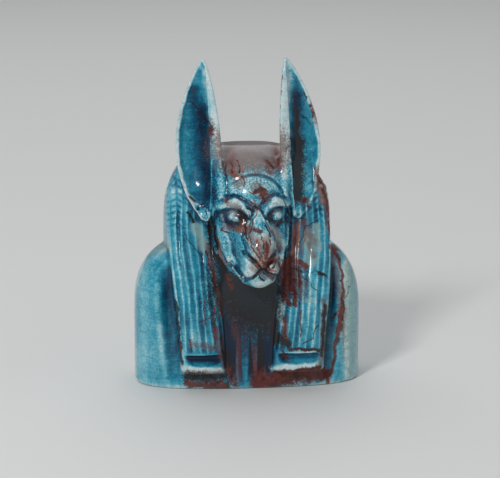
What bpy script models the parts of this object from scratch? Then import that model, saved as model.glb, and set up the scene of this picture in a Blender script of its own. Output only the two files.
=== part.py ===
# Jackal-headed bust in glazed faience, moulded as one solid and cut flat below.
# Metres, +Z up, front towards -Y. The origin is the middle of the flat underside.
# Simple masses are blocked out with primitives and fused by a voxel remesh. The fused
# surface is then pulled onto the blended form of the same masses, carved and thinned out.
import math

import bmesh
import bpy
import numpy as np
from mathutils import Euler, Vector

MM = 0.001


def mm(*values):
    """Millimetres to an array of metres."""
    return np.array(values, dtype=float) * MM


# Body of the bust
BODY_WIDTH = 46.2 * MM
BODY_DEPTH = 20.8 * MM
BODY_SET_BACK = 0.6 * MM  # how far the middle of the body lies behind the origin
SHOULDER_HEIGHT = 30.8 * MM
SHOULDER_START = 13.0 * MM  # below this the sides run straight down
BODY_SQUARENESS = 3.0
BASE_EDGE_RADIUS = 0.9 * MM
ARM_GROOVE_RADIUS = 3.0 * MM
ARM_GROOVE_X = 15.9 * MM
ARM_GROOVE_DEPTH = 2.0 * MM
ARM_GROOVE_TOP = 24.0 * MM
ARM_GROOVE_LEAN = 2.5 * MM  # how far its top lies behind its foot

# Wig: a cap over the skull and down the back, and two lappets on the chest
WIG_WIDTH = 33.4 * MM
WIG_DEPTH = 18.0 * MM
WIG_TOP = 48.4 * MM
WIG_WIDEST = 31.0 * MM
WIG_BACK_OFFSET = 3.0 * MM
WIG_HEM_HEIGHT = 10.0 * MM
WIG_SQUARENESS = 2.8
LAPPET_HEM_HEIGHT = 3.8 * MM
LEFT_LAPPET_WIDTH = 10.6 * MM
RIGHT_LAPPET_WIDTH = 9.2 * MM
LAPPET_SPACING = 19.2 * MM  # between the middles of their feet
LAPPET_SPREAD = 2.1 * MM  # how much further out each top lies than its foot
LAPPET_FALL_BACK = 8.0 * MM  # how far each top lies behind its foot
LAPPET_BEND = 15.0 * MM  # the height where it begins to fall back
LAPPET_TOP = 40.0 * MM
LAPPET_CROWN = 0.9 * MM
LAPPET_PROUD = 2.2 * MM
STRAND_SPACING = 1.28 * MM
STRAND_DEPTH = 0.28 * MM
STRAND_DRIFT = (0.16 * MM, 0.12 * MM)  # a slow and a quick waver, as the strands are drawn by hand
BACK_STRANDS = 44  # round the whole wig, of which the back half shows
END_BAND_HEIGHT = 2.5 * MM
END_BAND_DEPTH = 0.95 * MM
END_BAND_SAG = 1.3 * MM  # how much lower the foot of the band lies in its middle
END_BAND_SIDE = 0.9 * MM  # rim left beside each end of it
HEM_RIM = 1.5 * MM

# Ears
EAR_TIP_HEIGHT = 66.5 * MM  # before the tip is rounded
EAR_ROOT_HEIGHT = 34.5 * MM
EAR_WIDTH = 8.9 * MM
EAR_SPACING = 18.6 * MM  # between the middles of their roots
RIGHT_EAR_TIP_IN = 0.6 * MM  # how much nearer the middle the tip lies than its root
LEFT_EAR_TIP_IN = 1.4 * MM
RIGHT_EAR_BOW = 5.2 * MM  # how strongly the ear bows outwards
LEFT_EAR_BOW = 6.8 * MM
EAR_TWIST = 1.5 * MM  # how far the inner rim stands in front of the middle
EAR_CUP_DEPTH = 3.4 * MM
EAR_CUP_SPAN = (-0.5, 0.9)  # across the ear from -1 at its inner edge to 1 at its outer edge
EAR_BACK_BULGE = 4.4 * MM
EAR_RIM = 1.1 * MM
EAR_LEAN = 6.8 * MM  # how far the tip lies behind the root

# Head
HEAD_TURN = math.radians(4.5)  # the head looks a little to its own left
KITE_HEIGHT = 0.55 * MM
KITE_SHAPE = ((27.0, 27.7, 33.0, 38.0, 38.5), (-0.5, 0.3, 3.0, 0.5, -0.5))  # heights and half widths
KITE_FRONT = 10.0 * MM  # it lies further forward than this
HAIRLINE_RADIUS = 6.3 * MM
HAIRLINE_SQUASH = 1.08
HAIRLINE_DEPTH = 0.35 * MM
FACE_UNIT = 1.0 * MM  # the relief of the face below is in this unit
FACE_FRONT = 4.0 * MM  # the relief lies further forward than this
# Relief of the face, on both its sides. Lines run through (x, z) points, with a width and a
# height after them. Hollows and swellings have a middle, two half sizes and a height.
FACE_LINES = (
    (((1.3, 36.7), (2.3, 38.2), (4.0, 39.1), (6.7, 38.0)), 0.60, 0.34),  # brow
    (((0.5, 38.6), (2.2, 39.8), (4.2, 40.4), (6.4, 39.3)), 0.40, -0.22),  # furrow above it
    (((3.6, 31.6), (3.6, 29.8), (3.5, 27.6)), 0.45, -0.16),  # crease beside the muzzle
    (((3.0, 30.2), (1.9, 29.1), (0.4, 27.8)), 0.42, -0.62),  # nostril
    (((0.0, 27.3), (1.4, 26.1), (2.9, 24.7)), 0.42, -0.60),  # mouth
    (((2.9, 24.7), (4.1, 26.2), (4.9, 27.3)), 0.36, -0.50),  # its corner
)
FACE_SWELLS = (
    (4.1, 35.8, 2.3, 1.8, -1.0),  # eye socket
    (5.0, 30.8, 1.3, 3.2, -0.2),  # hollow of the cheek
    (2.0, 27.4, 1.5, 1.5, 0.2),  # whisker pad
)
EYEBALL = (4.2, 35.95, 1.3, 1.2, 1.2)

# Making of the mesh
BLOCK_VOXEL = 0.7 * MM
CARVING_VOXEL = 0.55 * MM
PULL_ROUNDS = 3
TRIANGLE_BUDGET = 9700

FAIENCE_BLUE = (0.06, 0.30, 0.42, 1.0)


# Distance fields. Each is negative inside its form, and about a distance in metres.


def length(vectors):
    return np.sqrt((vectors * vectors).sum(axis=-1))


def ellipsoid(points, centre, radii):
    scaled = (points - centre) / radii
    reach = length(scaled)
    return reach * (reach - 1) / np.maximum(length(scaled / radii), 1e-6)


def limb(points, start, end, start_radius, end_radius):
    """A tapering round limb between two points."""
    axis = end - start
    along = np.clip((points - start) @ axis / (axis @ axis), 0, 1)
    gap = length(points - start - along[:, None] * axis)
    return gap - (start_radius + along * (end_radius - start_radius))


def chain(points, stops, radius):
    """One thin limb after another, through all the stops."""
    return np.minimum.reduce([limb(points, a, b, radius, radius) for a, b in zip(stops, stops[1:])])


def dome(points, centre, radii, squareness):
    """A squarish dome whose sides run straight down below its centre."""
    share = np.abs(points - centre) / radii
    share[:, 2] = np.where(points[:, 2] < centre[2], 0, share[:, 2])
    reach = np.maximum((share**squareness).sum(axis=1) ** (1 / squareness), 1e-6)
    slope = length(share ** (squareness - 1) / radii) / reach ** (squareness - 1)
    return (reach - 1) / np.maximum(slope, 1e-6)


def join(a, b, blend):
    """The union of two fields, with a fillet about as wide as blend."""
    mix = np.clip(0.5 + 0.5 * (b - a) / blend, 0, 1)
    return b + (a - b) * mix - blend * mix * (1 - mix)


def cut(a, b, blend):
    """Field a with field b taken out of it."""
    return -join(-a, b, blend)


def keep(a, b, blend):
    """What fields a and b share."""
    return -join(-a, -b, blend)


def ramp(values, low, high):
    """0 below low, 1 above high, and a smooth rise between."""
    share = np.clip((values - low) / (high - low), 0, 1)
    return share * share * (3 - 2 * share)


def ridge(values, width):
    """1 on the line where the values are 0, fading out on both its sides."""
    return np.exp(-((values / width) ** 2))


def sided(points):
    """The points folded onto the bust's left half, for forms that come in pairs."""
    folded = points.copy()
    folded[:, 0] = np.abs(folded[:, 0])
    return folded


def turned(points, angle):
    """The points in a frame that is turned about the vertical axis."""
    c, s = math.cos(angle), math.sin(angle)
    x, y = points[:, 0], points[:, 1]
    return np.stack([x * c + y * s, y * c - x * s, points[:, 2]], axis=1)


# The body, the lappets and the wig

BODY_CENTRE = np.array([0, BODY_SET_BACK, SHOULDER_START])
BODY_RADII = np.array([BODY_WIDTH / 2, BODY_DEPTH / 2, SHOULDER_HEIGHT - SHOULDER_START])
WIG_CENTRE = np.array([0, WIG_BACK_OFFSET, WIG_WIDEST])
WIG_RADII = np.array([WIG_WIDTH / 2, WIG_DEPTH / 2, WIG_TOP - WIG_WIDEST])
CHEST_FRONT = BODY_DEPTH / 2 - BODY_SET_BACK
NECK = (mm(0, -1.0, 20), mm(0, -3.5, 34), 8.5 * MM, 7.5 * MM)


def lappet_aside(x, z):
    """Half width of the lappet on each side at a height, and how far across it x lies, from -1 to 1."""
    half = np.where(x > 0, LEFT_LAPPET_WIDTH, RIGHT_LAPPET_WIDTH) / 2
    middle = LAPPET_SPACING / 2 + LAPPET_SPREAD * ramp(z, LAPPET_HEM_HEIGHT, EAR_ROOT_HEIGHT)
    return half, (np.abs(x) - middle) / half


def lappet_front(z):
    """How far forward the face of a lappet lies at a height."""
    return CHEST_FRONT + LAPPET_PROUD - LAPPET_FALL_BACK * ramp(z, LAPPET_BEND, LAPPET_TOP)


def lappet(points):
    x, front, z = points[:, 0], -points[:, 1], points[:, 2]
    half, aside = lappet_aside(x, z)
    crown = LAPPET_CROWN * aside**2
    slab = keep((np.abs(aside) - 1) * half, front - lappet_front(z) + crown, 1.6 * MM)
    slab = keep(slab, LAPPET_HEM_HEIGHT - z, 1.0 * MM)
    slab = keep(slab, z - LAPPET_TOP, 1.0 * MM)
    upright = points.copy()
    upright[:, 1] = WIG_CENTRE[1]
    slab = keep(slab, dome(upright, WIG_CENTRE, WIG_RADII, WIG_SQUARENESS), 0.6 * MM)
    return np.maximum(slab, -front)


def body(points):
    p = sided(points)
    form = dome(points, BODY_CENTRE, BODY_RADII, BODY_SQUARENESS)
    groove_front = CHEST_FRONT + ARM_GROOVE_RADIUS - ARM_GROOVE_DEPTH
    low = np.array([ARM_GROOVE_X - 0.5 * MM, -groove_front, 3.5 * MM])
    high = np.array([ARM_GROOVE_X + 0.4 * MM, -groove_front + ARM_GROOVE_LEAN, ARM_GROOVE_TOP])
    return cut(form, limb(p, low, high, ARM_GROOVE_RADIUS, 0.8 * ARM_GROOVE_RADIUS), 1.2 * MM)


def wig(points):
    cap = dome(points, WIG_CENTRE, WIG_RADII, WIG_SQUARENESS)
    return keep(cap, WIG_HEM_HEIGHT - points[:, 2], 1.2 * MM)


# The ears: cupped leaves whose deepest line lies near the inner rim


def ear_outline(z, is_left):
    """Middle line, half width and share of the height of an ear."""
    share = np.clip((z - EAR_ROOT_HEIGHT) / (EAR_TIP_HEIGHT - EAR_ROOT_HEIGHT), 1e-4, 1 - 1e-4)
    tip_in = np.where(is_left, LEFT_EAR_TIP_IN, RIGHT_EAR_TIP_IN)
    bow = np.where(is_left, LEFT_EAR_BOW, RIGHT_EAR_BOW)
    middle = EAR_SPACING / 2 - tip_in * share + bow * share * (1 - share)
    half = EAR_WIDTH / 2 * np.sin(math.pi * share**0.844) ** 0.75
    return middle, half, share


def ear_faces(aside, half, share):
    """How far forward the front and back faces of an ear lie."""
    fullness = half / (EAR_WIDTH / 2)
    rim = EAR_LEAN * (1 - share) - EAR_TWIST * aside * fullness
    inner, outer = EAR_CUP_SPAN
    across = np.clip((aside - inner) / (outer - inner), 0, 1)
    cup = 1.75 * across**0.55 * (1 - across) ** 0.65
    bulge = np.clip(1 - aside**2, 0, 1) ** 0.7
    front = rim + EAR_RIM / 2 - EAR_CUP_DEPTH * fullness * cup
    back = rim - EAR_RIM / 2 - EAR_BACK_BULGE * fullness * bulge
    return front, back


def ear(points):
    p = sided(points)
    x, forward, z = p[:, 0], -p[:, 1], p[:, 2]
    middle, half, share = ear_outline(z, points[:, 0] > 0)
    aside = (x - middle) / np.maximum(half, 0.2 * MM)
    front, back = ear_faces(aside, half, share)
    form = keep((forward - front) * 0.6, (back - forward) * 0.6, 0.3 * MM)
    form = keep(form, np.abs(x - middle) - half, 0.7 * MM)
    form = keep(form, z - EAR_TIP_HEIGHT, 0.3 * MM)
    return np.maximum(form, EAR_ROOT_HEIGHT - z)


# The head, in its own frame: y runs back and the face looks to -y

SKULL = (mm(0, -3.0, 38.2), mm(7.2, 8.6, 7.6))
CROWN = (mm(0, -0.5, 40.7), mm(9.5, 8.5, 7.6))
MUZZLE = (mm(0, -8.2, 33.8), mm(0, -14.9, 28.8), 5.6 * MM, 3.9 * MM)
BRIDGE = (mm(0, -10.6, 38.0), mm(0, -16.3, 31.8), 1.7 * MM, 2.3 * MM)
JAW = (mm(0, -6.0, 30.2), mm(0, -15.0, 25.8), 6.3 * MM, 3.1 * MM)
CHEEK = (mm(4.2, -7.0, 32.0), mm(2.9, 4.4, 5.4))
ORBIT = (mm(4.2, -8.0, 36.3), mm(2.8, 2.6, 2.8))
WHISKER_PAD = (mm(1.9, -16.1, 27.3), mm(2.0, 3.0, 2.5))
NOSE_PAD = (mm(0, -16.9, 29.8), mm(2.9, 2.6, 3.4))
INNER_BROW = (mm(1.4, -12.0, 37.0), mm(4.0, -10.7, 38.9), 0.7 * MM, 0.9 * MM)
OUTER_BROW = (mm(4.0, -10.7, 38.9), mm(6.6, -7.5, 38.0), 0.9 * MM, 0.8 * MM)
FACE_EDGE = (mm(6.1, -6.6, 35.4), mm(5.7, -9.2, 30.9), mm(4.6, -11.1, 27.1), mm(2.4, -14.2, 24.6))
FACE_EDGE_RADIUS = 1.0 * MM
EAR_RIDGE = (mm(6.6, -4.2, 46.0), mm(6.0, -7.9, 39.6), 1.0 * MM, 0.9 * MM)
EAR_LOBE = (mm(8.9, -5.4, 35.8), mm(1.7, 1.7, 1.3))


def head(points):
    p = sided(points)
    form = join(ellipsoid(points, *SKULL), ellipsoid(points, *CROWN), 1.5 * MM)
    form = join(form, limb(points, *MUZZLE), 2.0 * MM)
    form = join(form, ellipsoid(p, *CHEEK), 1.5 * MM)
    form = join(form, limb(points, *JAW), 1.2 * MM)
    form = join(form, ellipsoid(p, *ORBIT), 1.2 * MM)
    form = join(form, chain(p, FACE_EDGE, FACE_EDGE_RADIUS), 1.6 * MM)
    form = join(form, ellipsoid(p, *WHISKER_PAD), 0.7 * MM)
    form = join(form, np.minimum(limb(p, *INNER_BROW), limb(p, *OUTER_BROW)), 1.2 * MM)
    form = join(form, limb(points, *BRIDGE), 0.9 * MM)
    form = join(form, ellipsoid(points, *NOSE_PAD), 0.7 * MM)
    form = join(form, limb(p, *EAR_RIDGE), 1.0 * MM)
    return join(form, ellipsoid(p, *EAR_LOBE), 0.8 * MM)


def nose_kite(points):
    """Height of the raised kite of the nose, from the brows to the lip."""
    x, forward, z = points[:, 0], -points[:, 1], points[:, 2]
    width = np.interp(z / FACE_UNIT, *KITE_SHAPE) * FACE_UNIT
    inside = ramp(width - np.abs(x), -0.12 * MM, 0.2 * MM)
    return KITE_HEIGHT * inside * ramp(forward, KITE_FRONT, KITE_FRONT + 2 * MM)


def hairline(points):
    """Depth of the groove where the wig meets the forehead."""
    x, forward, z = points[:, 0], -points[:, 1], points[:, 2]
    middle = SKULL[0][2]
    around = np.hypot(x, (z - middle) * HAIRLINE_SQUASH) - HAIRLINE_RADIUS
    groove = ridge(around, HAIRLINE_DEPTH) * ramp(z, middle, middle + 3 * MM)
    groove = groove * (0.35 + 0.65 * ramp(x, -3 * MM, 0))
    return HAIRLINE_DEPTH * groove * ramp(forward, 5 * MM, 7 * MM)


def line_gap(x, z, stops):
    """Distance from a run of points in the plane of the face."""
    gaps = []
    for (x0, z0), (x1, z1) in zip(stops, stops[1:]):
        dx, dz = x1 - x0, z1 - z0
        along = np.clip(((x - x0) * dx + (z - z0) * dz) / (dx * dx + dz * dz), 0, 1)
        gaps.append(np.hypot(x - x0 - along * dx, z - z0 - along * dz))
    return np.minimum.reduce(gaps)


def face_relief(points):
    """Height of the eyes, brows, nostrils and mouth over the plain head."""
    x, forward, z = np.abs(points[:, 0]) / FACE_UNIT, -points[:, 1], points[:, 2] / FACE_UNIT
    height = np.zeros(len(x))
    for middle_x, middle_z, half_x, half_z, rise in FACE_SWELLS:
        height += rise * np.exp(-(((x - middle_x) / half_x) ** 2) - ((z - middle_z) / half_z) ** 2)
    for stops, width, rise in FACE_LINES:
        height += rise * ridge(line_gap(x, z, stops), width)
    middle_x, middle_z, half_x, half_z, rise = EYEBALL
    inside = 1 - ((x - middle_x) / half_x) ** 2 - ((z - middle_z) / half_z) ** 2
    height += rise * np.clip(inside, 0, 1) ** 0.8
    return height * FACE_UNIT * ramp(forward, FACE_FRONT, FACE_FRONT + 3 * FACE_UNIT)


def detailed_head(points):
    return head(points) - nose_kite(points) + hairline(points) - face_relief(points)


# The whole form


def bust_field(points, carved):
    """The blended form, with its carving if carved is true."""
    local = turned(points, HEAD_TURN)
    form = join(body(points), limb(points, *NECK), 2.5 * MM)
    form = join(form, join(wig(points), lappet(points), 2.4 * MM), 0.7 * MM)
    form = join(form, ear(local), 1.2 * MM)
    form = join(form, detailed_head(local) if carved else head(local), 0.9 * MM)
    if carved:
        form = form + strand_relief(points) + end_band_relief(points)
    return keep(form, -points[:, 2], BASE_EDGE_RADIUS)


def strand_relief(points):
    """Depth of the flutes between the strands of the wig."""
    x, forward, z = points[:, 0], -points[:, 1], points[:, 2]
    half, aside = lappet_aside(x, z)
    slow, quick = STRAND_DRIFT
    drift = slow * np.sin(z / (3.1 * MM) + 2.3 * aside) + quick * np.sin(5.1 * aside + z / (9 * MM))
    across = ((aside + 1) * half + drift) / STRAND_SPACING
    flute = np.abs(np.sin(math.pi * across)) ** 0.8
    band_top = LAPPET_HEM_HEIGHT + HEM_RIM + END_BAND_HEIGHT
    on_lappet = ramp(forward, 1 * MM, 3 * MM) * (1 - ramp(np.abs(aside), 0.86, 0.96))
    on_lappet = on_lappet * ramp(z, band_top, band_top + HEM_RIM)
    on_lappet = on_lappet * (1 - ramp(z, EAR_ROOT_HEIGHT, LAPPET_TOP))
    angle = np.arctan2(x, points[:, 1] - WIG_CENTRE[1])
    back_flute = np.abs(np.sin(angle * BACK_STRANDS / 2)) ** 0.8
    above_hem = ramp(z, WIG_HEM_HEIGHT + HEM_RIM, WIG_HEM_HEIGHT + 2 * HEM_RIM)
    below_crown = 1 - ramp(z, WIG_TOP - 9 * MM, WIG_TOP - 4 * MM)
    on_back = (1 - ramp(forward, -1 * MM, 1 * MM)) * above_hem * below_crown
    on_back = on_back * (1 - ramp(wig(points), 0.4 * MM, 0.9 * MM))
    return STRAND_DEPTH * np.maximum(flute * on_lappet, back_flute * on_back)


def end_band_relief(points):
    """The sunk band across the foot of each lappet."""
    x, forward, z = points[:, 0], -points[:, 1], points[:, 2]
    half, aside = lappet_aside(x, z)
    low = LAPPET_HEM_HEIGHT + HEM_RIM + END_BAND_SAG * aside**2
    tall = END_BAND_HEIGHT - END_BAND_SAG * aside**2
    beside = (np.abs(aside) - 1) * half + END_BAND_SIDE
    # deepest under its straight upper edge, and shallow towards its ends
    scoop = (0.35 + 0.65 * ramp(z - low, 0, tall)) * (1 - ramp(beside, -1.5 * MM, 0.2 * MM))
    scoop = scoop * (1 - ramp(np.abs(z - low - tall / 2) - tall / 2, -0.45 * MM, 0.3 * MM))
    return END_BAND_DEPTH * scoop * ramp(forward, 6 * MM, 8 * MM)


# Blocking out with primitives


def sphere_shape():
    shape = bmesh.new()
    bmesh.ops.create_uvsphere(shape, u_segments=40, v_segments=28, radius=1)
    return shape


def as_object(name, shape):
    mesh = bpy.data.meshes.new(name)
    shape.to_mesh(mesh)
    shape.free()
    block = bpy.data.objects.new(name, mesh)
    bpy.context.scene.collection.objects.link(block)
    return block


def ball_block(name, centre, radii):
    shape = sphere_shape()
    for vert in shape.verts:
        vert.co = Vector(centre + radii * np.array(vert.co))
    return as_object(name, shape)


def dome_block(name, centre, radii, squareness, foot):
    """A squarish ball whose lower half is pushed down flat to the height of its foot."""
    shape = sphere_shape()
    for vert in shape.verts:
        lower = vert.co.z < -1e-3
        reach = sum(abs(c) ** squareness for c in vert.co) ** (1 / squareness)
        vert.co = Vector(centre + radii * np.array(vert.co) / reach)
        if lower:
            vert.co.z = foot
    return as_object(name, shape)


def limb_block(name, start, end, start_radius, end_radius):
    """A ball parted at its equator, with a half at each end of the limb."""
    shape = sphere_shape()
    facing = Vector(end - start).to_track_quat("Z", "Y")
    for vert in shape.verts:
        centre, radius = (end, end_radius) if vert.co.z > 0 else (start, start_radius)
        vert.co = Vector(centre) + facing @ vert.co * radius
    return as_object(name, shape)


def loft_block(name, rings):
    """Quads between rings of points, closed at both ends."""
    shape = bmesh.new()
    loops = [[shape.verts.new(point) for point in ring] for ring in rings]
    for low, high in zip(loops, loops[1:]):
        for i in range(len(low)):
            j = (i + 1) % len(low)
            shape.faces.new((low[i], low[j], high[j], high[i]))
    shape.faces.new(loops[0])
    shape.faces.new(loops[-1])
    bmesh.ops.recalc_face_normals(shape, faces=shape.faces)
    return as_object(name, shape)


def ear_block(name, side):
    rings = []
    for share in np.linspace(0.01, 0.99, 60):
        z = EAR_ROOT_HEIGHT + share * (EAR_TIP_HEIGHT - EAR_ROOT_HEIGHT)
        middle, half, _ = ear_outline(z, side > 0)
        asides = np.linspace(-0.97, 0.97, 15)
        fronts, backs = ear_faces(asides, half, share)
        there = [(side * (middle + a * half), -f, z) for a, f in zip(asides, fronts)]
        back_again = [(side * (middle + a * half), -b, z) for a, b in zip(asides, backs)]
        rings.append(there + back_again[::-1])
    return loft_block(name, rings)


def lappet_block(name, side):
    rings = []
    for z in np.linspace(LAPPET_HEM_HEIGHT, LAPPET_TOP, 24):
        half, aside = lappet_aside(side * 1.0, z)
        middle = 1.0 - aside * half
        front = lappet_front(z)
        corners = ((-0.8, front), (0.8, front), (1, front - 1 * MM), (1, 0), (-1, 0), (-1, front - 1 * MM))
        rings.append([(side * (middle + a * half), -f, z) for a, f in corners])
    return loft_block(name, rings)


def turn_with_head(block):
    block.rotation_euler = Euler((0, 0, HEAD_TURN))


def mirrored(centre):
    return centre * np.array([-1, 1, 1])


def blockout():
    """The plain masses of the bust, each its own closed block."""
    body_and_wig = [
        dome_block("body_block", BODY_CENTRE, BODY_RADII, BODY_SQUARENESS, 0.0),
        dome_block("wig_block", WIG_CENTRE, WIG_RADII, WIG_SQUARENESS, WIG_HEM_HEIGHT),
        limb_block("neck_block", *NECK),
        lappet_block("lappet_block_left", 1),
        lappet_block("lappet_block_right", -1),
    ]
    turning = [
        ear_block("ear_block_left", 1),
        ear_block("ear_block_right", -1),
        ball_block("skull_block", *SKULL),
        ball_block("crown_block", *CROWN),
        limb_block("muzzle_block", *MUZZLE),
        limb_block("jaw_block", *JAW),
        limb_block("bridge_block", *BRIDGE),
        ball_block("nose_block", *NOSE_PAD),
    ]
    for side, place in (("left", np.array), ("right", mirrored)):
        turning.append(ball_block("cheek_block_" + side, place(CHEEK[0]), CHEEK[1]))
        turning.append(ball_block("orbit_block_" + side, place(ORBIT[0]), ORBIT[1]))
        turning.append(ball_block("pad_block_" + side, place(WHISKER_PAD[0]), WHISKER_PAD[1]))
        turning.append(ball_block("lobe_block_" + side, place(EAR_LOBE[0]), EAR_LOBE[1]))
    for block in turning:
        turn_with_head(block)
    return body_and_wig + turning


def joined(blocks):
    bpy.context.view_layer.update()
    bpy.ops.object.select_all(action="DESELECT")
    for block in blocks:
        block.select_set(True)
    bpy.context.view_layer.objects.active = blocks[0]
    bpy.ops.object.join()
    return bpy.context.view_layer.objects.active


def reskinned(whole, voxel):
    """One closed skin of even squares over everything in the object."""
    remesh = whole.modifiers.new("reskin", "REMESH")
    remesh.mode = "VOXEL"
    remesh.voxel_size = voxel
    divide = whole.modifiers.new("divide", "SUBSURF")
    divide.levels = divide.render_levels = 1
    bake(whole)


def bake(thing):
    """Replaces an object's mesh with what its modifiers make of it."""
    evaluated = thing.evaluated_get(bpy.context.evaluated_depsgraph_get())
    mesh = bpy.data.meshes.new_from_object(evaluated)
    thing.modifiers.clear()
    thing.data = mesh


# Pulling the skin onto the form


def pull(points, field):
    """One step of each point along the field's slope onto its zero surface."""
    step = 0.02 * MM
    value = field(points)
    slope = np.empty_like(points)
    for axis in range(3):
        nudged = points.copy()
        nudged[:, axis] += step
        slope[:, axis] = (field(nudged) - value) / step
    size = np.maximum((slope * slope).sum(axis=1), 0.04)
    move = slope * (value / size)[:, None]
    reach = np.maximum(length(move), 1e-9)
    move *= np.minimum(1, 0.8 * MM / reach)[:, None]
    return points - move


def eased(points, edges):
    """Each point moved halfway to the average of its neighbours."""
    total = np.zeros_like(points)
    count = np.bincount(edges.ravel(), minlength=len(points))
    for axis in range(3):
        total[:, axis] = np.bincount(edges[:, 0], points[edges[:, 1], axis], len(points))
        total[:, axis] += np.bincount(edges[:, 1], points[edges[:, 0], axis], len(points))
    return 0.5 * points + 0.5 * total / count[:, None]


def shape_skin(mesh, carved):
    """Moves the skin onto the form, with easing between the steps so that it spreads evenly."""
    points = np.empty(len(mesh.vertices) * 3)
    mesh.vertices.foreach_get("co", points)
    points = points.reshape(-1, 3)
    edges = np.empty(len(mesh.edges) * 2, dtype=np.int64)
    mesh.edges.foreach_get("vertices", edges)
    edges = edges.reshape(-1, 2)
    for _ in range(PULL_ROUNDS):
        points = eased(points, edges)
        points = pull(points, lambda p: bust_field(p, carved))
    points = pull(points, lambda p: bust_field(p, carved))
    points[:, 2] = np.where(points[:, 2] < 0.03 * MM, 0, points[:, 2])
    mesh.vertices.foreach_set("co", points.ravel())
    mesh.update()


def thin_out(bust):
    """Fewer triangles, kept where the form turns, with the foot flat again."""
    thinner = bust.modifiers.new("thin_out", "DECIMATE")
    thinner.ratio = TRIANGLE_BUDGET / (2 * len(bust.data.polygons))
    thinner.use_collapse_triangulate = True
    bake(bust)
    for vert in bust.data.vertices:
        if vert.co.z < 0.05 * MM:
            vert.co.z = 0


def faience():
    material = bpy.data.materials.new("blue_faience")
    material.use_nodes = True
    shader = material.node_tree.nodes["Principled BSDF"]
    shader.inputs["Base Color"].default_value = FAIENCE_BLUE
    shader.inputs["Roughness"].default_value = 0.2
    shader.inputs["Metallic"].default_value = 0.0
    return material


def main():
    for old in list(bpy.data.objects):
        bpy.data.objects.remove(old)
    bust = joined(blockout())
    bust.name = "jackal_bust"
    for voxel, carved in ((BLOCK_VOXEL, False), (CARVING_VOXEL, True)):
        reskinned(bust, voxel)
        shape_skin(bust.data, carved)
    thin_out(bust)
    bust.data.materials.clear()
    bust.data.materials.append(faience())


main()
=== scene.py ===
import math

import bmesh
import bpy
import numpy as np
from mathutils import Euler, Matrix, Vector


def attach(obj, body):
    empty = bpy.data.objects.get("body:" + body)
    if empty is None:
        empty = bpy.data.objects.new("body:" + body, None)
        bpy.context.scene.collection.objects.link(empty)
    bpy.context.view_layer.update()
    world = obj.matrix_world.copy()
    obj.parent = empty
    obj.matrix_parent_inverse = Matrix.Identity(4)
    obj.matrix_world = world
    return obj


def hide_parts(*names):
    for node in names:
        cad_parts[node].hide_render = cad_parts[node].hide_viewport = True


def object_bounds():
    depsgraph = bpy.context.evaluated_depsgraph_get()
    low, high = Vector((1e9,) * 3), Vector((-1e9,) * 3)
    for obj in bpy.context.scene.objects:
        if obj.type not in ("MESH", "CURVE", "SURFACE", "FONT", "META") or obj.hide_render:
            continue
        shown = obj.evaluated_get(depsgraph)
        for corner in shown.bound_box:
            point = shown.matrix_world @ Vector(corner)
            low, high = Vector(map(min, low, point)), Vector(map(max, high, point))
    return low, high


# Small jackal-headed bust in glazed faience. Lengths are in metres, the chest faces -Y.

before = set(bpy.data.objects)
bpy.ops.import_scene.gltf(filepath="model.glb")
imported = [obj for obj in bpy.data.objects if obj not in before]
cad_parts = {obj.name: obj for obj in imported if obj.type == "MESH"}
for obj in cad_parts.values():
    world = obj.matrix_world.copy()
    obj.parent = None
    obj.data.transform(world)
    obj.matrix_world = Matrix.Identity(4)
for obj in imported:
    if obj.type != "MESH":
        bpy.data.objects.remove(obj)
cadLow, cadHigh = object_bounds()
mm = 0.001
print("frame loaded, %.1f mm tall" % ((cadHigh - cadLow).z / mm))


# The photograph's view, used by the camera and to place the stains, painted shade and painted sheen of the
# glaze

photo = {
    "width": 500,
    "height": 478,
    "metresPerPixel": 0.204 * mm,  # at the point the camera looks at
    "azimuth": -5,
    "elevation": 14,
    "distance": 0.45,
    "lookAt": (0.7 * mm, 0, 28.9 * mm),
}


def photoAxes():
    turn, rise = math.radians(photo["azimuth"]), math.radians(photo["elevation"])
    back = Vector((math.sin(turn) * math.cos(rise), -math.cos(turn) * math.cos(rise), math.sin(rise)))
    right = Vector((0, 0, 1)).cross(back).normalized()
    return right, back.cross(right), back


def photoPixels(points):
    # where each point lands in the photograph, as pixels from its top left corner
    right, up, back = (np.array(axis) for axis in photoAxes())
    eye = np.array(photo["lookAt"]) + photo["distance"] * back
    away = points - eye
    scale = photo["distance"] / photo["metresPerPixel"] / -(away @ back)
    return photo["width"] / 2 + (away @ right) * scale, photo["height"] / 2 - (away @ up) * scale


# Distance fields: negative inside a form, and about a distance in metres


def size(vectors):
    return np.sqrt((vectors * vectors).sum(axis=-1))


def spot(x, y, z):
    return np.array((x, y, z), dtype=float) * mm


def ball(points, centre, radii):
    scaled = (points - centre) / radii
    reach = size(scaled)
    return reach * (reach - 1) / np.maximum(size(scaled / radii), 1e-6)


def limb(points, start, end, startRadius, endRadius):
    axis = end - start
    along = np.clip((points - start) @ axis / (axis @ axis), 0, 1)
    gap = size(points - start - along[:, None] * axis)
    return gap - (startRadius + along * (endRadius - startRadius))


def chain(points, stops, radius):
    # one thin limb after another, through all the stops
    return np.minimum.reduce([limb(points, a, b, radius, radius) for a, b in zip(stops, stops[1:])])


def dome(points, centre, radii, squareness):
    # squarish, with sides that run straight down below its centre
    share = np.abs(points - centre) / radii
    share[:, 2] = np.where(points[:, 2] < centre[2], 0, share[:, 2])
    reach = np.maximum((share**squareness).sum(axis=1) ** (1 / squareness), 1e-6)
    slope = size(share ** (squareness - 1) / radii) / reach ** (squareness - 1)
    return (reach - 1) / np.maximum(slope, 1e-6)


def join(a, b, fillet):
    mix = np.clip(0.5 + 0.5 * (b - a) / fillet, 0, 1)
    return b + (a - b) * mix - fillet * mix * (1 - mix)


def cut(a, b, fillet):
    return -join(-a, b, fillet)


def keep(a, b, fillet):
    return -join(-a, -b, fillet)


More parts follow.
